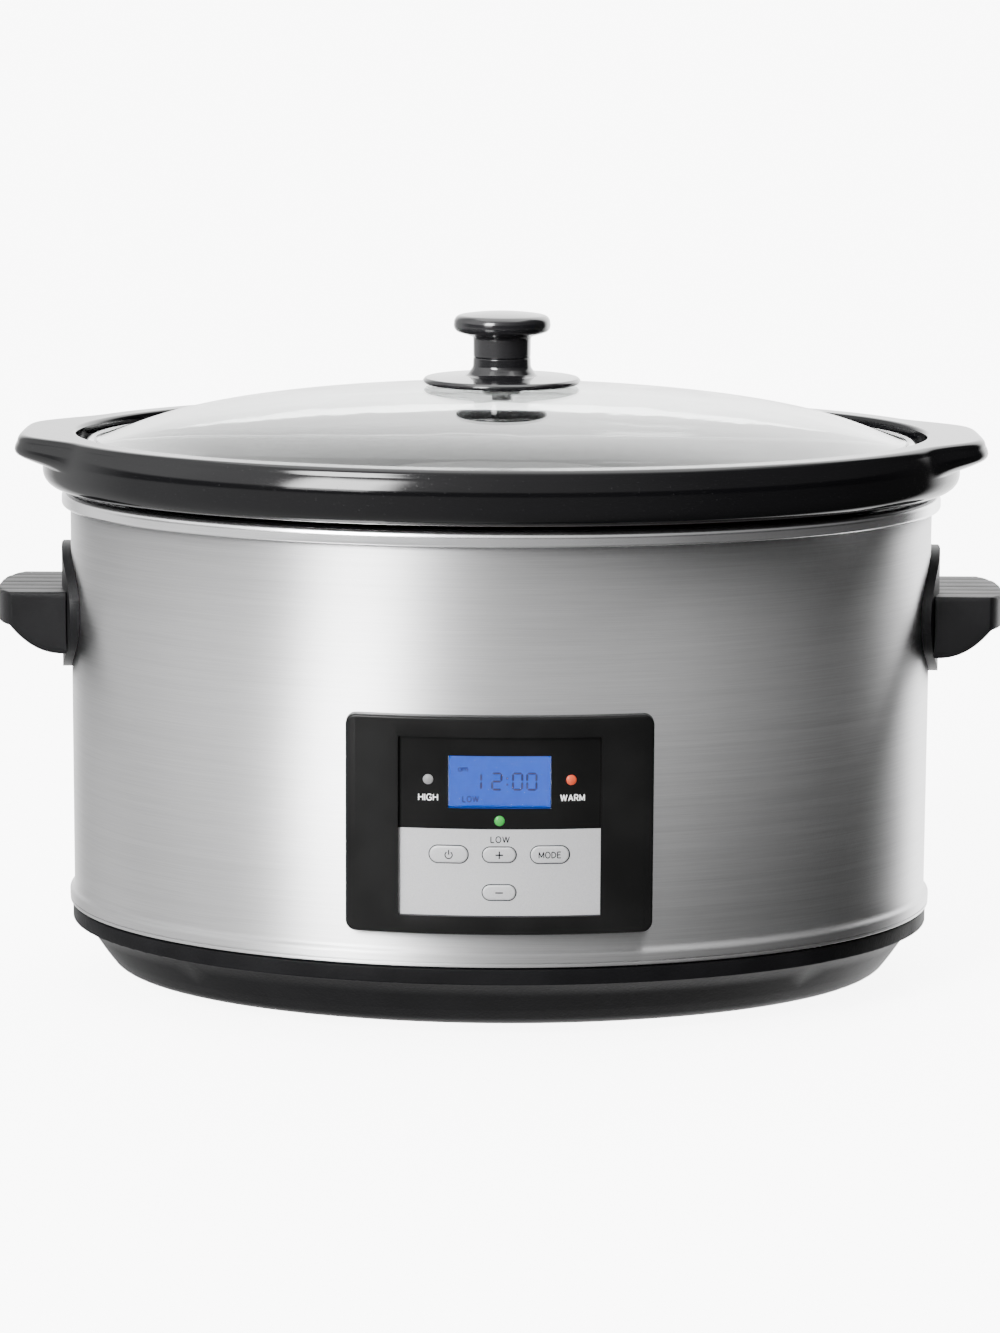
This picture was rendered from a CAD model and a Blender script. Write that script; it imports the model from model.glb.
"""A slow cooker: the visible pieces and their finishes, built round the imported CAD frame.

Shapes are worked out in millimetres and written to the meshes in metres. The cooker faces -Y, +X is to its
right and Z is up. In plan the pot is an oval; a place on it is an angle and a distance outside that oval.
"""
import math

import bmesh
import bpy
import numpy as np
from mathutils import Matrix, Vector


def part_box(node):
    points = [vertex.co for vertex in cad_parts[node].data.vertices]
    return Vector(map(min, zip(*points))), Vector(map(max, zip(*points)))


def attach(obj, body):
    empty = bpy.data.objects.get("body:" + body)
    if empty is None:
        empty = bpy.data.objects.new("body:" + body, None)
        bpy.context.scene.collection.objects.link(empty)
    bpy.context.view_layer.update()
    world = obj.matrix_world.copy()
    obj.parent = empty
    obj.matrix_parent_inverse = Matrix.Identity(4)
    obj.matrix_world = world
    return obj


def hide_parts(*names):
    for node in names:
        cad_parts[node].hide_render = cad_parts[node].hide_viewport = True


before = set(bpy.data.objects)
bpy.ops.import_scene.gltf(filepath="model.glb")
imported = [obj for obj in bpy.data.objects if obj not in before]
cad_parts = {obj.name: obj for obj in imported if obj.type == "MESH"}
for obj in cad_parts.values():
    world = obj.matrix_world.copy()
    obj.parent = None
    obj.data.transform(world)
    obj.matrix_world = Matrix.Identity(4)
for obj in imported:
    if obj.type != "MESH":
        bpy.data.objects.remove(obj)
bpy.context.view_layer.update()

MM = 0.001
AROUND = 360                      # columns round the oval
HALF_LENGTH, HALF_WIDTH = 190, 138
END_CENTRE, END_RADIUS = 78, 112  # the CAD's oval: end arcs, about the ends' centres
SIDE_CENTRE, SIDE_RADIUS = 104, 242   # and side arcs, about centres beyond the middle


# ---------------------------------------------------------------- shapes

def oval(angle, out):
    """An ellipse with half axes HALF_LENGTH and HALF_WIDTH, at the point whose outward normal has the given
    angle, moved out along that normal: (a^2 cos, b^2 sin) / |(a cos, b sin)| + out (cos, sin)."""
    reach = np.hypot(HALF_LENGTH * np.cos(angle), HALF_WIDTH * np.sin(angle))
    x = HALF_LENGTH ** 2 * np.cos(angle) / reach + out * np.cos(angle)
    y = HALF_WIDTH ** 2 * np.sin(angle) / reach + out * np.sin(angle)
    return x, y


def turns(count):
    """Angles once round, starting at the back, where a seam shows least."""
    return np.pi / 2 + np.linspace(0, 2 * np.pi, count, endpoint=False)


def rounded(corners, steps=7, closed=True):
    """A polyline whose corners (p, q, radius) become arcs tangent to both sides. A point is held a little
    before and after each arc, so that the flats between arcs stay flat in the shading."""
    places = np.array([c[:2] for c in corners], float)
    points = []
    for i, corner in enumerate(corners):
        here = places[i]
        radius = corner[2] if len(corner) > 2 else 0
        if radius == 0 or (not closed and i in (0, len(corners) - 1)):
            points.append(here[None])
            continue
        before = places[i - 1] - here
        after = places[(i + 1) % len(places)] - here
        before, after = before / np.linalg.norm(before), after / np.linalg.norm(after)
        half = math.acos(np.clip(before @ after, -1, 1)) / 2
        reach = radius / math.tan(half)
        middle = here + (before + after) / np.linalg.norm(before + after) * radius / math.sin(half)
        start, end = here + before * reach - middle, here + after * reach - middle
        sweep = math.pi - 2 * half
        t = np.linspace(0, 1, steps)[:, None]
        arc = middle + (np.sin((1 - t) * sweep) * start + np.sin(t * sweep) * end) / math.sin(sweep)
        hold = 0.12 * radius
        points += [(arc[0] + before * hold)[None], arc, (arc[-1] + after * hold)[None]]
    return np.concatenate(points)


def grid_faces(rows, columns, ring, poles):
    """Quads of a grid that closes round its columns. ring also joins the last row to the first; poles adds a
    fan at each end, to the two points that follow the grid's own."""
    row = np.arange(rows if ring else rows - 1)[:, None]
    column = np.arange(columns)[None]
    after, above = (column + 1) % columns, (row + 1) % rows
    quads = np.stack([row * columns + column, row * columns + after,
                      above * columns + after, above * columns + column], -1).reshape(-1, 4)
    faces = quads.tolist()
    if poles:
        side = np.arange(columns)
        other = (side + 1) % columns
        low, high = rows * columns, rows * columns + 1
        last = (rows - 1) * columns
        faces += np.stack([np.full(columns, low), other, side], -1).tolist()
        faces += np.stack([np.full(columns, high), last + side, last + other], -1).tolist()
    return faces


def outward(points, faces):
    """The faces, turned over if their signed volume, the sum of a . (b x c) / 6 over a fan of each, is
    negative."""
    volume = 0
    for size in (3, 4):
        group = np.array([f for f in faces if len(f) == size], int)
        for k in range(1, size - 1):
            if len(group):
                a, b, c = points[group[:, 0]], points[group[:, k]], points[group[:, k + 1]]
                volume += np.einsum("ij,ij->", a, np.cross(b, c))
    return faces if volume > 0 else [f[::-1] for f in faces]


def add_piece(name, points, faces, body, finish, replaces=()):
    """A mesh piece from points in millimetres, smooth shaded, riding on a body."""
    mesh = bpy.data.meshes.new(name)
    mesh.from_pydata((np.asarray(points) * MM).tolist(), [], faces)
    mesh.polygons.foreach_set("use_smooth", [True] * len(mesh.polygons))
    mesh.materials.append(FINISHES[finish])
    mesh.update()
    piece = bpy.data.objects.new(name, mesh)
    bpy.context.scene.collection.objects.link(piece)
    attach(piece, body)
    if replaces:
        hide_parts(*replaces)
    return piece


def add_surface(name, grid, body, finish, replaces=(), ring=False):
    """A closed piece from a grid of points, rows by columns by 3: a ring like a tyre, or a form with a pole
    at the middle of its first and its last row."""
    rows, columns = grid.shape[:2]
    points = grid.reshape(-1, 3)
    if not ring:
        points = np.concatenate([points, grid[:1].mean(1), grid[-1:].mean(1)])
    faces = outward(points, grid_faces(rows, columns, ring, not ring))
    return add_piece(name, points, faces, body, finish, replaces)


def stack(x, y, z):
    """Three arrays of one shape as points."""
    x, y, z = np.broadcast_arrays(x, y, z)
    return np.stack([x, y, z], -1)


def band(name, profile, body, finish, replaces):
    """A closed profile of (distance outside the oval, height) carried round the oval."""
    x, y = oval(turns(AROUND)[None], profile[:, :1])
    return add_surface(name, stack(x, y, profile[:, 1:]), body, finish, replaces, ring=True)


def turned(name, profile, body, finish, replaces):
    """A profile of (radius, height) turned once round the Z axis, closed on it at both ends."""
    angle = turns(96)[None]
    radius = profile[:, :1]
    grid = stack(radius * np.cos(angle), radius * np.sin(angle), profile[:, 1:])
    return add_surface(name, grid, body, finish, replaces)


def merged(node, finish, body="housing", bevel=0):
    """A copy of a CAD node with its triangles joined, its flats made whole and its sharp edges eased."""
    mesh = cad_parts[node].data.copy()
    piece = bpy.data.objects.new("fine_" + node, mesh)
    bpy.context.scene.collection.objects.link(piece)
    form = bmesh.new()
    form.from_mesh(mesh)
    bmesh.ops.remove_doubles(form, verts=form.verts, dist=0.002 * MM)
    bmesh.ops.dissolve_limit(form, angle_limit=math.radians(0.3), verts=form.verts, edges=form.edges)
    form.to_mesh(mesh)
    form.free()
    mesh.polygons.foreach_set("use_smooth", [True] * len(mesh.polygons))
    mesh.set_sharp_from_angle(angle=math.radians(30))
    mesh.materials.clear()
    mesh.materials.append(FINISHES[finish])
    if bevel:
        edge = piece.modifiers.new("eased_edges", "BEVEL")
        edge.width, edge.segments = bevel * MM, 3
        edge.limit_method, edge.angle_limit = "ANGLE", math.radians(35)
        edge.use_clamp_overlap = True
    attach(piece, body)
    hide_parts(node)
    return piece


def fitted(node, finish, body="housing", bevel=0):
    """A merged copy moved in plan from the CAD's four-arc oval to the ellipse: each point keeps its height,
    its normal's angle and its distance outside the oval. Points deep inside stay where they are."""
    piece = merged(node, finish, body, bevel)
    points = np.empty(len(piece.data.vertices) * 3)
    piece.data.vertices.foreach_get("co", points)
    points = points.reshape(-1, 3) / MM
    x, y = np.abs(points[:, 0]), np.abs(points[:, 1])
    at_end = (x - END_CENTRE) * SIDE_CENTRE > y * END_CENTRE
    angle = np.where(at_end, np.arctan2(y, x - END_CENTRE), np.arctan2(y + SIDE_CENTRE, x))
    out = np.where(at_end, np.hypot(x - END_CENTRE, y) - END_RADIUS,
                   np.hypot(x, y + SIDE_CENTRE) - SIDE_RADIUS)
    new_x, new_y = oval(angle, out)
    near = np.clip((out + 70) / 25, 0, 1)
    points[:, 0] = np.sign(points[:, 0]) * (x + near * (new_x - x))
    points[:, 1] = np.sign(points[:, 1]) * (y + near * (new_y - y))
    piece.data.vertices.foreach_set("co", (points * MM).ravel())
    return piece


def on_panel(x, z, out):
    """A point of the control panel: across, up, and out from the centre of the arc its front follows."""
    return stack(x, SIDE_CENTRE - np.sqrt(np.square(out) - np.square(x)), z)


def stroke(path, width, low, high, place, closed=False):
    """A bar carried along a path of (across, up): a rectangle from low to high out of the panel and as wide,
    at each point, as width. Gives points and faces."""
    path = np.asarray(path, float)
    if closed:
        along = np.roll(path, -1, 0) - np.roll(path, 1, 0)
    else:
        along = np.gradient(path, axis=0)
    along /= np.linalg.norm(along, axis=1)[:, None]
    half = np.broadcast_to(width, len(path))[:, None] / 2
    side = np.stack([-along[:, 1], along[:, 0]], 1) * half
    left, right = path + side, path - side
    around = np.stack([left, left, right, right], 1)
    out = np.array([low, high, high, low])[None]
    grid = place(around[..., 0], around[..., 1], out)
    points = grid.reshape(-1, 3)
    if not closed:
        points = np.concatenate([points, grid[:1].mean(1), grid[-1:].mean(1)])
    return points, outward(points, grid_faces(len(path), 4, closed, not closed))


def bow(middle, size, start, end, steps=14):
    """Part of an ellipse about a middle, from a start to an end angle in degrees."""
    angle = np.radians(np.linspace(start, end, steps))
    return np.stack([middle[0] + size[0] * np.cos(angle), middle[1] + size[1] * np.sin(angle)], 1)


LETTER_GAP = 0.3
# Plain letters: each one's width, then its pen strokes, in heights of a capital from its lower left corner.
LETTERS = {
    "A": (0.76, [[(0, 0), (0.38, 1)], [(0.38, 1), (0.76, 0)], [(0.14, 0.34), (0.62, 0.34)]]),
    "D": (0.68, [[(0, 0), (0, 1)], bow((0, 0.5), (0.68, 0.5), -90, 90)]),
    "E": (0.56, [[(0, 0), (0, 1)], [(0, 0), (0.56, 0)], [(0, 0.52), (0.5, 0.52)], [(0, 1), (0.56, 1)]]),
    "G": (0.74, [bow((0.4, 0.5), (0.4, 0.5), 40, 315), [(0.42, 0.46), (0.74, 0.46)],
                 [(0.74, 0.46), (0.74, 0.1)]]),
    "H": (0.66, [[(0, 0), (0, 1)], [(0.66, 0), (0.66, 1)], [(0, 0.52), (0.66, 0.52)]]),
    "I": (0.0, [[(0, 0), (0, 1)]]),
    "L": (0.52, [[(0, 0), (0, 1)], [(0, 0), (0.52, 0)]]),
    "M": (0.8, [[(0, 0), (0, 1)], [(0, 1), (0.4, 0.12)], [(0.4, 0.12), (0.8, 1)], [(0.8, 1), (0.8, 0)]]),
    "O": (0.8, [bow((0.4, 0.5), (0.4, 0.5), 0, 360, 28)]),
    "R": (0.64, [[(0, 0), (0, 1)], [(0, 1), (0.34, 1)], bow((0.34, 0.74), (0.26, 0.26), 90, -90),
                 [(0.34, 0.48), (0, 0.48)], [(0.34, 0.48), (0.64, 0)]]),
    "W": (1.08, [[(0, 1), (0.27, 0)], [(0.27, 0), (0.54, 1)], [(0.54, 1), (0.81, 0)],
                 [(0.81, 0), (1.08, 1)]]),
    "a": (0.6, [bow((0.3, 0.35), (0.3, 0.35), 0, 360, 20), [(0.6, 0), (0.6, 0.7)]]),
    "m": (0.96, [[(0, 0), (0, 0.7)], bow((0.24, 0.4), (0.24, 0.3), 180, 0),
                 bow((0.72, 0.4), (0.24, 0.3), 180, 0), [(0.48, 0), (0.48, 0.4)], [(0.96, 0), (0.96, 0.4)]]),
}


def lettering(word, x, z, width, height, pen, low, high, place):
    """A word in plain letters, width by height over the middles of its strokes, centred on (x, z), drawn with
    a pen of that width. Gives one bar for each stroke."""
    starts = np.cumsum([0] + [LETTERS[letter][0] + LETTER_GAP for letter in word])
    share = width / (starts[-1] - LETTER_GAP)
    bars = []
    for letter, start in zip(word, starts):
        for path in LETTERS[letter][1]:
            path = (np.asarray(path, float) + (start, 0)) * (share, height) + (x - width / 2, z - height / 2)
            bars.append(stroke(path, pen, low, high, place))
    return bars


def add_print(name, shapes, body, finish):
    """One piece of several flat shapes."""
    points, faces, count = [], [], 0
    for shape_points, shape_faces in shapes:
        points.append(shape_points)
        faces += [[count + i for i in face] for face in shape_faces]
        count += len(shape_points)
    piece = add_piece(name, np.concatenate(points), faces, body, finish)
    piece.data.polygons.foreach_set("use_smooth", [False] * len(piece.data.polygons))
    return piece


# ---------------------------------------------------------------- finishes

class Wire:
    """A shader socket that takes part in sums: + - * and / with a number or another wire make Math nodes."""

    def __init__(self, finish, socket):
        self.finish, self.socket = finish, socket

    def math(self, operation, *values):
        return self.finish.node("ShaderNodeMath", {"operation": operation}, dict(enumerate(values)))

    def __add__(self, other):
        return self.math("ADD", self, other)

    def __sub__(self, other):
        return self.math("SUBTRACT", self, other)

    def __rsub__(self, other):
        return self.math("SUBTRACT", other, self)

    def __mul__(self, other):
        return self.math("MULTIPLY", self, other)

    def __truediv__(self, other):
        return self.math("DIVIDE", self, other)

    __radd__ = __add__
    __rmul__ = __mul__

    def between(self, low, high):
        """0 below low, 1 above high, smooth in between."""
        settings = {"interpolation_type": "SMOOTHSTEP"}
        return self.finish.node("ShaderNodeMapRange", settings,
                                {"Value": self, "From Min": low, "From Max": high})


class Finish:
    """A material, or the world, and its node tree."""

    def __init__(self, owner, shader="Principled BSDF", **sockets):
        self.material = bpy.data.materials.new(owner) if isinstance(owner, str) else owner
        self.material.use_nodes = True
        self.tree = self.material.node_tree
        self.shader = self.tree.nodes[shader]
        self.set(**sockets)

    def set(self, **sockets):
        """Puts values or wires on the shader's sockets; an underscore in a name stands for a space."""
        for name, value in sockets.items():
            self.put(self.shader.inputs[name.replace("_", " ")], value)

    def put(self, socket, value):
        if isinstance(value, Wire):
            self.tree.links.new(value.socket, socket)
        elif isinstance(value, tuple) and len(value) == 3 and socket.type == "RGBA":
            socket.default_value = (*value, 1)
        else:
            socket.default_value = value

    def node(self, kind, settings=(), inputs=(), output=0):
        """Adds a node: its settings first, a ramp's stops among them, then what its sockets hold."""
        node = self.tree.nodes.new(kind)
        for name, value in dict(settings).items():
            if name == "stops":
                stops = node.color_ramp.elements
                for place, colour in value[2:]:
                    stops.new(place)
                for stop, (place, colour) in zip(stops, value):
                    stop.position = place
                    stop.color = (*colour, 1) if isinstance(colour, tuple) else (colour, colour, colour, 1)
            else:
                setattr(node, name, value)
        for name, value in dict(inputs).items():
            self.put(node.inputs[name], value)
        return Wire(self, node.outputs[output])

    def place(self, scale=(1, 1, 1)):
        """Object coordinates, stretched."""
        here = self.node("ShaderNodeTexCoord", output="Object")
        return self.node("ShaderNodeMapping", inputs={"Vector": here, "Scale": scale})

    def noise(self, scale, detail=2.0, roughness=0.5, stretch=(1, 1, 1)):
        """Smooth noise from 0 to 1, scale cycles a metre."""
        return self.node("ShaderNodeTexNoise", inputs={
            "Vector": self.place(stretch), "Scale": scale, "Detail": detail, "Roughness": roughness})

    def bump(self, height, depth):
        """A bumped normal; depth is in millimetres."""
        return self.node("ShaderNodeBump", inputs={"Height": height, "Distance": depth * MM, "Strength": 1.0})

    def tint(self, mask, low, high):
        """A colour between two, by a mask."""
        return self.node("ShaderNodeMix", {"data_type": "RGBA"}, {0: mask, 6: low, 7: high}, output=2)


def grained_plastic(name, colour, roughness, grain, depth, shine=0.16):
    """Moulded plastic: a fine eroded grain, and patches a little duller than the rest."""
    finish = Finish(name, Specular_IOR_Level=shine)
    fine = finish.noise(grain, 3.0, 0.6)
    cloud = finish.noise(35, 2.0)
    light = tuple(min(1, c * 1.4 + 0.001) for c in colour)
    finish.set(Base_Color=finish.tint(cloud.between(0.3, 0.75), colour, light),
               Roughness=roughness - 0.06 + cloud * 0.12,
               Normal=finish.bump(fine, depth))
    return finish.material


def worn_metal(name, colour, roughness, spread):
    """Plain metal with faint smears in its gloss."""
    finish = Finish(name, Metallic=1.0)
    smear = finish.noise(60, 3.0)
    finish.set(Base_Color=finish.tint(smear, tuple(c * 0.9 for c in colour), colour),
               Roughness=roughness + smear * spread,
               Normal=finish.bump(finish.noise(900, 2.0), 0.01))
    return finish.material


def brushed_steel(name):
    """Stainless sheet brushed round the pot: long level scratches in its height, tone and gloss."""
    finish = Finish(name, Metallic=1.0, Anisotropic=0.95, Anisotropic_Rotation=0.25)
    fine = finish.noise(1, 3.0, 0.7, stretch=(28, 28, 3200))
    broad = finish.noise(1, 2.0, 0.6, stretch=(7, 7, 420))
    streak = fine * 0.65 + broad * 0.35
    finish.set(Base_Color=finish.tint(streak.between(0.25, 0.75), (0.60, 0.60, 0.605), (0.74, 0.74, 0.745)),
               Roughness=0.40 + streak * 0.14,
               Normal=finish.bump(fine, 0.012))
    return finish.material


def glazed_stoneware(name):
    """Poured black glaze: a slow ripple, a fine orange peel and a few dull pinpoints."""
    finish = Finish(name, Specular_IOR_Level=0.36)
    ripple = finish.noise(38, 2.0)
    peel = finish.noise(420, 2.0)
    speck = finish.noise(1500, 1.0).between(0.66, 0.8)
    finish.set(Base_Color=finish.tint(speck, (0.0025, 0.0025, 0.003), (0.012, 0.012, 0.013)),
               Roughness=0.07 + ripple * 0.05 + speck * 0.15,
               Normal=finish.bump(ripple * 0.8 + peel * 0.06, 0.08))
    return finish.material


def clear_glass(name):
    """Tempered lid glass: clear, with a breath of green and the slightest waviness."""
    finish = Finish(name, Base_Color=(0.965, 0.985, 0.975), Transmission_Weight=1.0, IOR=1.5)
    wave = finish.noise(25, 2.0)
    finish.set(Roughness=wave * 0.02, Normal=finish.bump(wave, 0.03))
    return finish.material


def gloss_phenolic(name):
    """Polished black phenolic: faint moulding waves under a hard gloss."""
    finish = Finish(name, Coat_Weight=0.4, Coat_Roughness=0.04)
    wave = finish.noise(90, 2.0)
    fine = finish.noise(1400, 2.0)
    finish.set(Base_Color=finish.tint(wave, (0.005, 0.005, 0.006), (0.011, 0.011, 0.012)),
               Roughness=0.12 + wave * 0.08,
               Normal=finish.bump(wave + fine * 0.02, 0.05))
    return finish.material


def painted_silver(name):
    """Silver paint on plastic: fine flakes in its tone and gloss."""
    finish = Finish(name, Metallic=0.35)
    flake = finish.noise(2600, 2.0, 0.7)
    cloud = finish.noise(30, 1.0)
    finish.set(Base_Color=finish.tint(flake.between(0.25, 0.75), (0.46, 0.46, 0.47), (0.56, 0.56, 0.57)),
               Roughness=0.42 + cloud * 0.1,
               Normal=finish.bump(flake, 0.01))
    return finish.material


def lit(name, colour, strength, body=0.5):
    """A lamp lens or a lit display: its own colour, a brighter core by fine mottling, and a smooth face."""
    finish = Finish(name, Emission_Strength=strength, Roughness=0.25, Specular_IOR_Level=0.12)
    mottle = finish.noise(700, 2.0)
    dim = tuple(c * 0.86 for c in colour)
    finish.set(Base_Color=finish.tint(mottle, tuple(c * body for c in dim), tuple(c * body for c in colour)),
               Emission_Color=finish.tint(mottle, dim, colour))
    return finish.material


def clear_window(name):
    """Thin clear plastic over the display."""
    finish = Finish(name, Base_Color=(0.97, 0.98, 1.0), Transmission_Weight=1.0, IOR=1.02,
                    Specular_IOR_Level=0.0)
    smear = finish.noise(60, 2.0)
    finish.set(Roughness=smear.between(0.6, 0.9) * 0.004)
    return finish.material


FINISHES = {
    "steel_shell": brushed_steel("brushed_steel"),
    "polished_steel": worn_metal("polished_steel", (0.93, 0.93, 0.94), 0.2, 0.06),
    "crock_glaze": glazed_stoneware("black_glaze"),
    "lid_glass": clear_glass("tempered_glass"),
    "knob_phenolic": gloss_phenolic("black_phenolic"),
    "base_plastic": grained_plastic("grained_base_plastic", (0.004, 0.004, 0.0045), 0.5, 900, 0.12,
                                    shine=0.08),
    "handle_plastic": grained_plastic("grained_handle_plastic", (0.005, 0.005, 0.0055), 0.46, 1300, 0.06),
    "bezel_plastic": grained_plastic("satin_bezel_plastic", (0.004, 0.004, 0.004), 0.34, 2200, 0.01),
    "fascia_black": grained_plastic("smooth_fascia_plastic", (0.003, 0.003, 0.003), 0.3, 2600, 0.008),
    "keypad_silver": painted_silver("silver_keypad_paint"),
    "button_silver": painted_silver("silver_button_paint"),
    "display_window": clear_window("clear_window"),
    "display_blue": lit("blue_display", (0.0, 0.12, 1.0), 0.8, 0.02),
    "lamp_grey": lit("unlit_lamp", (0.42, 0.42, 0.42), 0.15),
    "lamp_green": lit("green_lamp", (0.05, 0.5, 0.08), 0.5),
    "lamp_red": lit("red_lamp", (0.9, 0.12, 0.05), 0.4),
    "foot_rubber": grained_plastic("foot_rubber", (0.02, 0.02, 0.02), 0.75, 700, 0.05),
    "silicone": grained_plastic("clear_silicone", (0.55, 0.55, 0.55), 0.45, 900, 0.02),
    "liner_steel": worn_metal("aluminised_liner", (0.62, 0.62, 0.6), 0.34, 0.2),
    "heater_mica": grained_plastic("mica_sheet", (0.42, 0.33, 0.2), 0.5, 300, 0.1),
    "fastener_steel": worn_metal("zinc_fasteners", (0.6, 0.6, 0.6), 0.25, 0.15),
    "insert_brass": worn_metal("brass", (0.75, 0.55, 0.25), 0.25, 0.15),
    "circuit_board": grained_plastic("green_circuit_board", (0.02, 0.12, 0.05), 0.4, 500, 0.02),
    "component_black": grained_plastic("black_component", (0.02, 0.02, 0.02), 0.5, 1200, 0.02),
    "component_white": grained_plastic("white_component", (0.7, 0.7, 0.68), 0.45, 1200, 0.02),
    "label_white": grained_plastic("white_print", (0.78, 0.78, 0.78), 0.5, 2500, 0.003),
    "label_dark": grained_plastic("dark_print", (0.006, 0.006, 0.008), 0.6, 2500, 0.003),
    "segment_dark": grained_plastic("display_segments", (0.001, 0.004, 0.03), 0.6, 2500, 0.003),
}

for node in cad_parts.values():
    slot_name = node.data.materials[0].name
    node.data.materials[0] = FINISHES[slot_name]


# ---------------------------------------------------------------- camera

camera = bpy.data.objects.new("camera", bpy.data.cameras.new("camera"))
bpy.context.scene.collection.objects.link(camera)
camera.data.lens, camera.data.sensor_width, camera.data.clip_end = 114.9, 36, 200
camera.location = Vector((-0.1, -1867, 455)) * MM
gaze = Vector((-0.13, 0, 139)) * MM - camera.location
camera.rotation_euler = (gaze.to_track_quat("-Z", "Y").to_matrix()
                         @ Matrix.Rotation(math.radians(0.31), 3, "Z")).to_euler()
bpy.context.scene.camera = camera


# ---------------------------------------------------------------- pot

fitted("base_tray", "base_plastic")
fitted("heating_liner", "liner_steel")

SHELL_LOW, SHELL_HIGH = (v.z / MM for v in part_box("outer_shell"))
BEAD = SHELL_LOW + 1.5                     # groove between the bead's lip and its roll
band("brushed_shell", rounded([
    (-0.6, SHELL_LOW), (1.9, SHELL_LOW, 0.6), (1.9, BEAD - 0.1, 0.3), (1.3, BEAD, 0.1),
    (1.3, BEAD + 0.3, 0.1), (2.0, BEAD + 0.4, 0.3), (2.0, BEAD + 4.0, 1.8), (0, BEAD + 5.6, 2.0),
    (0, SHELL_HIGH), (-0.6, SHELL_HIGH),
]), "housing", "steel_shell", ["outer_shell"])

RING_LOW, RING_HIGH = (v.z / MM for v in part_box("rim_ring"))
band("polished_ring", rounded([
    (0.1, RING_LOW), (3.8, RING_LOW, 1.6), (3.8, RING_HIGH, 3.0), (-1.5, RING_HIGH, 3.0),
    (-4.0, RING_HIGH - 0.9, 2.0), (-18, RING_HIGH - 0.9, 0.3), (-18, RING_HIGH - 1.7, 0.3),
    (-4.0, RING_HIGH - 1.7), (0.1, RING_HIGH - 0.8),
]), "housing", "polished_steel", ["rim_ring"])


def crock():
    """The crock: one profile of (distance outside the oval, height) from the middle of its underside, up the
    outside, over the band, whose upper half leans in, and down to the middle of its floor. At each end of the
    pot the rows of the band's upper half are pushed out along X to make a lug: the push is what brings the
    band's edge to the lug's outline, tip - slope softplus(|y| - half), less (|y| - 55)^2 / 40 where |y| is
    past 55, and a row takes a share of it."""
    low, high = (v.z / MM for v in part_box("stoneware_crock"))
    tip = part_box("stoneware_crock")[1].x / MM
    band_low = high - 23.5
    floor, edge, lean = low + 8, 11.94, 2.2       # edge: how far the band stands outside the oval
    slope, soft, lug_half = 1.07, 5, 32           # the lug's sides, its rounded shoulders, its half width
    blend = 1.3                                   # the push fades in over this much
    outside = rounded([(-60, low), (-31, low, 14), (-24.5, band_low, 1.5), (edge, band_low, 7),
                       (edge, high - 13.6)], closed=False)
    # the lug's rounded underside: (share of the push, distance below the band's top)
    under = np.array([(0.0, 13.2), (0.06, 12.9), (0.16, 12.5), (0.3, 11.9), (0.45, 11.2), (0.6, 10.4),
                      (0.74, 9.6), (0.86, 8.7), (0.94, 7.7), (0.985, 6.5), (1.0, 5.2), (1.0, 3.6)])
    arc = np.linspace(0, np.pi / 2, 7)
    over = np.stack([edge - lean - 3 * (1 - np.cos(arc)), high - 3 + 3 * np.sin(arc)], 1)
    across = np.array([(6.2, 0.985), (5.0, 0.84), (3.4, 0.6), (1.5, 0.3), (0.0, 0.1), (-0.6, 0.0)])
    inside = rounded([(-0.6, high), (-3, high, 1.8), (-3, high - 9.4, 1.6), (-13.5, high - 9.4, 3.5),
                      (-33, band_low - 2, 9), (-39.5, floor, 22), (-70, floor)], closed=False)[1:]
    leaning = edge - lean * np.clip((11 - under[:, 1]) / 8, 0, 1) ** 2
    out = np.concatenate([outside[:, 0], leaning, over[:, 0], across[:, 0], inside[:, 0]])
    height = np.concatenate([outside[:, 1], high - under[:, 1], over[:, 1], np.full(len(across), high),
                             inside[:, 1]])
    share = np.concatenate([np.zeros(len(outside)), under[:, 0], np.ones(len(over)), across[:, 1],
                            np.zeros(len(inside))])
    angle = turns(AROUND)[None]
    x, y = oval(angle, out[:, None])
    edge_x, edge_y = oval(angle, edge)
    outline = tip - slope * soft * np.log1p(np.exp((np.abs(edge_y) - lug_half) / soft))
    outline = outline - np.clip(np.abs(edge_y) - 55, 0, None) ** 2 / 40
    push = blend * np.log1p(np.exp(np.clip((outline - np.abs(edge_x)) / blend, -30, 30)))
    x = x + np.sign(np.cos(angle)) * share[:, None] * push
    # the flat underside and floor draw in to the middle
    z = np.broadcast_to(height[:, None], x.shape)
    inner = np.linspace(0.1, 0.92, 8)[:, None]
    underside = stack(x[:1] * inner, y[:1] * inner, z[:1])
    inside_floor = stack(x[-1:] * inner[::-1], y[-1:] * inner[::-1], z[-1:])
    grid = np.concatenate([underside, stack(x, y, z), inside_floor])
    return add_surface("glazed_crock", grid, "crock", "crock_glaze", ["stoneware_crock"])


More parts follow.
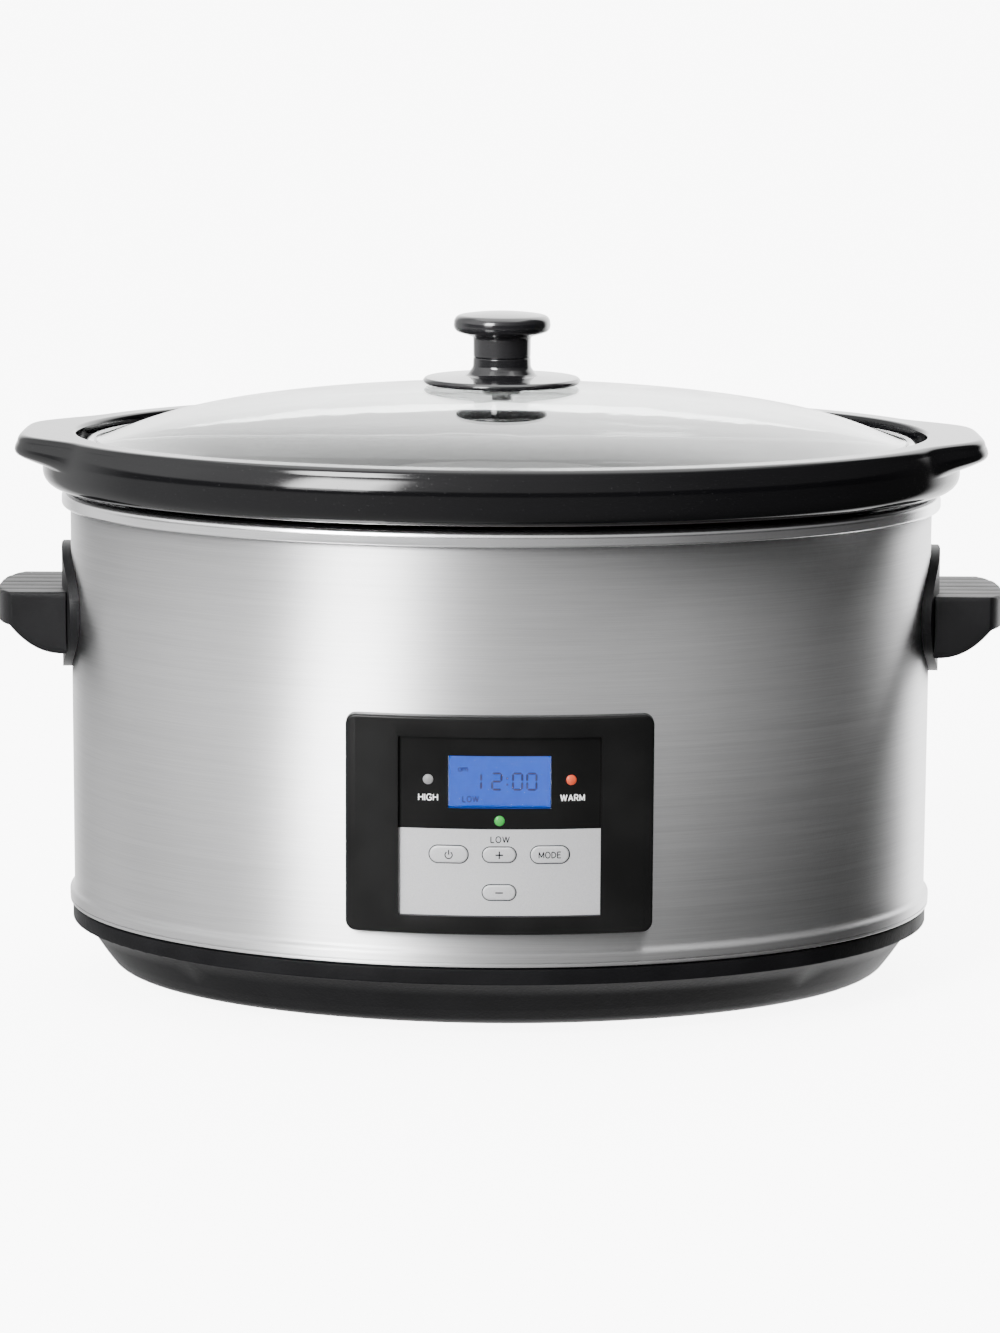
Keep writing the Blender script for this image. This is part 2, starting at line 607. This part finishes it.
def lid():
    """The lid: a glass dome whose plan shrinks to a round hole in the middle, with a rolled bead at its edge.
    Its height over the edge is rise (1 - k^2)^(0.69 + 0.4 k^8), where k goes from 0 at the hole to 1."""
    low, high = (v.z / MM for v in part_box("lid_glass"))
    bead_z, rise, wall = low + 3, high - low - 5.6, 4
    angle = turns(AROUND)[None]

    def dome(share, out, drop):
        k = share[:, None]
        x, y = oval(angle, out)
        turn = np.arctan2(y, x)
        hole = 4.2 * (1 - k) ** 6
        z = high - rise + rise * (1 - k ** 2) ** (0.69 + 0.4 * k ** 8) - drop
        return stack(k * x + hole * np.cos(turn), k * y + hole * np.sin(turn), z)

    share = np.sin(np.linspace(0, np.pi / 2, 46))
    arc = np.radians(np.linspace(112, -118, 15))
    x, y = oval(angle, (-9.4 + 3 * np.cos(arc))[:, None])
    bead = stack(x, y, (bead_z + 3 * np.sin(arc))[:, None])
    grid = np.concatenate([dome(share, -11, 0), bead, dome(share[::-1], -12.5, wall)])
    return add_surface("glass_dome", grid, "lid", "lid_glass", ["lid_glass"], ring=True)


def knob():
    """The knob: a flared skirt on the lid, and a crowned cap on its stem, each turned round Z."""
    low, high = (v.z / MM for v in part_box("knob_skirt"))
    turned("knob_flange", rounded([
        (0.6, low), (33.9, low, 0.8), (35, low + 1.3, 0.9), (33.7, low + 2.7, 1.3), (15.5, low + 3.6, 3.0),
        (12.8, low + 7.2, 3.0), (12.6, high, 0.5), (0.6, high),
    ], closed=False), "lid", "knob_phenolic", ["knob_skirt"])
    low, high = (v.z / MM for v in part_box("knob_cap"))
    radius = np.linspace(16.8, 0.6, 10)
    crown = np.stack([radius, high - 1.3 * (radius / 17.6) ** 2], 1)
    turned("knob_cap_turned", np.concatenate([rounded([
        (0.6, low), (12.6, low, 0.5), (12.7, low + 9.0, 1.4), (21.5, low + 11.7, 3.2),
        (21.0, high - 2.0, 3.4), (17.6, high - 1.3),
    ], closed=False)[:-1], crown]), "lid", "knob_phenolic", ["knob_cap"])


crock()
lid()
knob()


def grip(side):
    """A moulded grip: upright sections carried out from its plate. Its plan ends in a bow,
    tip - 7.2 |y / half|^3; its underside climbs 12.6 (distance / 24.5)^2.4; six ribs run out along its top,
    top - 0.5 (1 - |sin|^0.5). A finger recess rises into its underside."""
    low, high = (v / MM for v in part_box(side + "_handle_grip"))
    root, tip = sorted((abs(low.x), abs(high.x)))
    half, top, foot, ease = high.y, high.z, low.z, 1.2
    face, climb = 190, 24.5                       # where the underside starts to climb, and over what length
    recess_root, recess_wall, recess_half, recess_top = 203, 2.8, 26, 169.5
    across = np.linspace(-half + ease, half - ease, 97)
    ribs = -0.5 * (1 - np.abs(np.sin(6 * np.pi * (across + half) / (2 * half))) ** 0.5)
    arc = np.linspace(0, np.pi / 2, 6)[1:-1]
    corner = np.stack([half - ease + ease * np.sin(arc), ease * (np.cos(arc) - 1)], 1)
    wall = np.array([0.9, 0.7, 0.5, 0.3, 0.1])
    back, at_corner, at_wall = across[::-2], len(corner), len(wall)
    # columns: across, share of the height, height offset; over the top, down one side, back and up the other
    y = np.concatenate([across, corner[:, 0], np.full(at_wall, half), corner[::-1, 0], back, -corner[:, 0],
                        np.full(at_wall, -half), -corner[::-1, 0]])
    share = np.concatenate([np.ones(len(across) + at_corner), wall, np.zeros(2 * at_corner + len(back)),
                            wall[::-1], np.ones(at_corner)])
    lift = np.concatenate([ribs, corner[:, 1], np.zeros(at_wall), -corner[::-1, 1], np.zeros(len(back)),
                           -corner[:, 1], np.zeros(at_wall), corner[::-1, 1]])
    turn = np.linspace(0, np.pi / 2, 7)[1:]
    run = np.concatenate([np.linspace(0, 1, 64), np.ones(12)])[:, None]
    past = np.concatenate([np.zeros(64), ease * np.sin(turn), np.full(6, ease)])[:, None]
    inset = np.concatenate([np.zeros(64), ease * (1 - np.cos(turn)), [2, 3, 4, 5, 6, 6.8]])[:, None]
    y = y * (1 - inset / 7)
    reach = tip - 7.2 * np.abs(y / half) ** 3 - ease
    x = root + run * (reach - root) + past
    under = foot + 12.6 * (np.clip(x - face, 0, climb) / climb) ** 2.4
    recess = (np.clip(x - recess_root, 0, 1) * np.clip(reach - recess_wall - x, 0, 1)
              * np.clip(recess_half - np.abs(y), 0, 1))
    z = under + share * (top - under) + lift + (share == 0) * recess * (recess_top - under)
    middle = (top + under) / 2
    z = middle + (z - middle) * (1 - inset / 7)
    add_surface(side + "_grip", stack(x if side == "right" else -x, y, z), "housing", "handle_plastic",
                [side + "_handle_grip"])


for side in ("left", "right"):
    fitted(f"{side}_handle_plate", "handle_plastic", bevel=0.8)
    grip(side)


# ---------------------------------------------------------------- control panel

FACE = SIDE_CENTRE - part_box("keypad_plate")[0].y / MM      # front of the fascia and the keypad plate
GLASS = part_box("lcd_module")[0].y / MM                      # front of the display
FIGURE_HIGH = 0.06                                         # the display's figures stand off it
PROUD, SUNK = 0.07, 0.05                                   # print stands off the face, and reaches into it
PEN, SIGN_PEN, POWER_PEN = 0.42, 0.55, 0.45                # widths of the letters' and signs' strokes
FLANGE = 0.9                                               # a button's hidden flange stands out this far
SIGN = 1.6                                                 # half the length of a plus or minus sign's bar

merged("panel_bezel", "bezel_plastic", bevel=0.25)
merged("display_fascia", "fascia_black", bevel=0.15)
merged("keypad_plate", "keypad_silver", bevel=0.15)


def pill(name, body):
    """A button cap: a slot-shaped outline whose edge rounds over to a slightly crowned face. Its outline is a
    circle's, pulled apart across by the slot's straight. Gives the cap's middle."""
    low, high = (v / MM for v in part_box(name + "_button"))
    x, z = (low.x + high.x) / 2, (low.z + high.z) / 2
    half_x, half_z = (high.x - low.x) / 2 - FLANGE, (high.z - low.z) / 2 - FLANGE
    turn = (np.arange(64) + 0.5) * 2 * np.pi / 64
    cos, sin = np.cos(turn)[None], np.sin(turn)[None]
    inset = np.array([0, 0, 0, 0.06, 0.2, 0.42, 0.7])[:, None]
    out = FACE + np.array([-2, -1, 0.28, 0.52, 0.68, 0.77, 0.81])[:, None]
    edge_x = (half_x - half_z) * np.sign(cos) + (half_z - inset) * cos
    edge_z = (half_z - inset) * sin
    shrink = np.array([0.8, 0.55, 0.3, 0.1])[:, None]
    crown = FACE + np.array([0.83, 0.85, 0.86, 0.865])[:, None]
    across = np.concatenate([edge_x, edge_x[-1:] * shrink])
    up = np.concatenate([edge_z, edge_z[-1:] * shrink])
    grid = on_panel(x + across, z + up, np.concatenate([out, crown]))
    add_surface(name + "_cap", grid, body, "button_silver", [name + "_button"])
    rim = np.stack([x + edge_x[0] + 0.22 * cos[0], z + edge_z[0] + 0.22 * sin[0]], 1)
    outlines.append(bar(rim, 0.4, closed=True))
    return x, z


def lamp(name, finish):
    """A lamp lens: a low dome, height 0.7 (1 - (r / radius)^2), on a short barrel."""
    low, high = (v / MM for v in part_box("led_" + name))
    radius = (high.x - low.x) / 2
    reach = np.array([1, 1, 1, 0.97, 0.88, 0.72, 0.5, 0.25, 0.06])[:, None] * radius
    out = FACE + np.concatenate([[-3, -0.5], 0.05 + 0.7 * (1 - (reach[2:, 0] / radius) ** 2)])[:, None]
    turn = turns(40)[None]
    x, z = (low.x + high.x) / 2, (low.z + high.z) / 2
    grid = on_panel(x + reach * np.cos(turn), z + reach * np.sin(turn), out)
    add_surface(name + "_lamp", grid, "housing", finish, ["led_" + name])


def printed(word, x, z, width, height, lift=0.0):
    """A word printed on the panel, or on a cap that stands lift off it."""
    return lettering(word, x, z, width, height, PEN, FACE + lift - SUNK, FACE + lift + PROUD, on_panel)


def bar(points, width, lift=0.0, closed=False):
    """A line printed on the panel, or on a cap that stands lift off it."""
    return stroke(points, width, FACE + lift - SUNK, FACE + lift + PROUD, on_panel, closed)


CAP = 0.86                                                 # a cap's face stands off the keypad plate
outlines = []                                              # each pill adds its own
spots = {name: pill(name, name + "_key") for name in ("power", "plus", "mode", "minus")}
lamp("high", "lamp_grey")
lamp("warm", "lamp_red")
lamp("low", "lamp_green")

add_print("white_words", printed("HIGH", -29.6, 107.8, 7.8, 2.6) + printed("WARM", 30.2, 107.8, 9.8, 2.6),
          "housing", "label_white")
add_print("button_outlines", outlines, "housing", "label_dark")
add_print("dark_words", printed("LOW", 0.3, 90.3, 7.6, 2.5), "housing", "label_dark")

x, z = spots["mode"]
add_print("mode_words", printed("MODE", x, z, 9.0, 2.5, CAP), "mode_key", "label_dark")
x, z = spots["plus"]
add_print("plus_sign", [
    bar([(x - SIGN, z), (x + SIGN, z)], SIGN_PEN, CAP),
    bar([(x, z - SIGN), (x, z + SIGN)], SIGN_PEN, CAP)], "plus_key", "label_dark")
x, z = spots["minus"]
add_print("minus_sign", [bar([(x - SIGN, z), (x + SIGN, z)], SIGN_PEN, CAP)], "minus_key", "label_dark")
x, z = spots["power"]
sweep = np.radians(np.linspace(125, 415, 30))
add_print("power_sign", [
    bar(np.stack([x + 1.5 * np.cos(sweep), z - 0.2 + 1.5 * np.sin(sweep)], 1), POWER_PEN, CAP - 0.02),
    bar([(x, z - 0.1), (x, z + 2.0)], POWER_PEN, CAP)], "power_key", "label_dark")


def on_glass(x, z, out):
    """A point of the display: across, up, and out from its glass."""
    return stack(x, GLASS - out, z)


# Ends of the seven segments of a figure, in half widths across and half heights up.
SEGMENTS = {"a": [(-1, 1), (1, 1)], "b": [(1, 1), (1, 0)], "c": [(1, 0), (1, -1)], "d": [(-1, -1), (1, -1)],
            "e": [(-1, 0), (-1, -1)], "f": [(-1, 1), (-1, 0)], "g": [(-1, 0), (1, 0)]}
FIGURES = {"0": "abcdef", "1": "bc", "2": "abged"}


def figure(digit, x, z):
    """A seven-segment figure: each segment is a bar that tapers to a point at both ends."""
    half_width, half_height, width, gap = 1.9, 3.4, 0.92, 0.1
    bars = []
    for letter in FIGURES[digit]:
        start, end = (np.array(p) * (half_width, half_height) + (x, z) for p in SEGMENTS[letter])
        length = np.linalg.norm(end - start)
        share = np.array([gap, gap + width / 2, length - gap - width / 2, length - gap]) / length
        path = start + share[:, None] * (end - start)
        bars.append(stroke(path, np.array([0.08, width, width, 0.08]), 0.0, FIGURE_HIGH, on_glass))
    return bars


MIDDLE = 114.3                                             # height of the clock figures
shapes = []
for digit, x in (("1", -9.6), ("2", -1.2), ("0", 7.4), ("0", 13.3)):
    shapes += figure(digit, x, MIDDLE)
for up in (-1.3, 1.3):
    shapes.append(stroke([(2.7, MIDDLE + up), (3.5, MIDDLE + up)], 0.8, 0, FIGURE_HIGH, on_glass))
shapes += lettering("am", -15.2, 119.6, 3.8, 2.2, 0.4, 0, FIGURE_HIGH, on_glass)
shapes += lettering("LOW", -12.0, 106.8, 6.5, 2.3, PEN, 0, FIGURE_HIGH, on_glass)
add_print("display_figures", shapes, "housing", "segment_dark")


# ---------------------------------------------------------------- studio

floor = bpy.data.meshes.new("floor")
floor.from_pydata([(-60, -60, 0), (60, -60, 0), (60, 60, 0), (-60, 60, 0)], [], [(0, 1, 2, 3)])
floor_object = bpy.data.objects.new("floor", floor)
bpy.context.scene.collection.objects.link(floor_object)
pale = Finish("pale_floor", Base_Color=(0.86, 0.86, 0.86), Roughness=0.9,
              Emission_Color=(1.0, 1.0, 1.0), Emission_Strength=7.0)
floor.materials.append(pale.material)
floor_object.visible_glossy = floor_object.visible_diffuse = False

# A plain graded tent of cloth round the cooker: how bright its cloth is at each compass angle from the
# front, in degrees to the right. It is lit from the left and from behind, and the right is in shade.
TENT = [(-180, 4.0), (-140, 0.8), (-75, 1.8), (-30, 1.5), (0, 0.8), (45, 0.25), (120, 0.05), (140, 5.0),
        (180, 4.0)]
BRIGHTEST = max(value for angle, value in TENT)
TOP, STRIP, BACKDROP = 1.9, 42, 8     # brightness overhead, of the strip on the left, and to the camera
STRIP_LEFT, STRIP_RIGHT, STRIP_SOFT = -46, -18, 8
DIM, BELOW, RAISED = 0.15, 0.5, 1.05  # in front: share just over the horizon, and more below and higher up


def tent():
    """The world: brightness by compass angle, even overhead and pale to the camera. In front it is dim
    between the horizon and about ten degrees up."""
    world = bpy.data.worlds.new("tent")
    bpy.context.scene.world = world
    cloth = Finish(world, "Background", Color=(1.0, 1.0, 1.0))
    way = cloth.node("ShaderNodeTexCoord", output="Generated")
    split = cloth.node("ShaderNodeSeparateXYZ", inputs={0: way})
    x, y, z = (Wire(cloth, split.socket.node.outputs[k]) for k in range(3))
    turn = x.math("ARCTAN2", x, y * -1) / (2 * math.pi) + 0.5

    def compass(angle):
        """An angle in degrees from the front as a share of the turn, from 0 to 1."""
        return (angle + 180) / 360

    stops = [(compass(angle), value / BRIGHTEST) for angle, value in TENT]
    level = cloth.node("ShaderNodeValToRGB", {"stops": stops}, {0: turn}) * BRIGHTEST
    behind = y.between(-0.1, 0.5)
    low = 1 - z.between(-0.08, -0.02)
    raised = z.between(0.16, 0.24)
    level = level * (behind + (1 - behind) * (DIM + low * BELOW + raised * RAISED))
    top = z.between(0.66, 0.94)
    level = level * (1 - top) + top * TOP
    across = (turn.between(compass(STRIP_LEFT), compass(STRIP_LEFT + STRIP_SOFT))
              * (1 - turn.between(compass(STRIP_RIGHT - STRIP_SOFT), compass(STRIP_RIGHT))))
    level = level + across * z.between(0.18, 0.24) * (1 - z.between(0.6, 0.66)) * STRIP
    seen = cloth.node("ShaderNodeLightPath", output="Is Camera Ray")
    cloth.set(Strength=level * (1 - seen) + seen * BACKDROP)


tent()


def softbox(name, place, aim, width, height, power):
    """A rectangular soft light that faces a point."""
    light = bpy.data.lights.new(name, "AREA")
    light.shape, light.size, light.size_y, light.energy = "RECTANGLE", width, height, power
    stand = bpy.data.objects.new(name, light)
    bpy.context.scene.collection.objects.link(stand)
    stand.location = place
    stand.rotation_euler = (Vector(aim) - Vector(place)).to_track_quat("-Z", "Y").to_euler()


softbox("front_left_softbox", (-0.95, -1.45, 0.85), (0, 0, 0.16), 0.55, 0.9, 14)
softbox("overhead_softbox", (0.0, 0.1, 1.7), (0, 0, 0.1), 1.6, 1.2, 15)
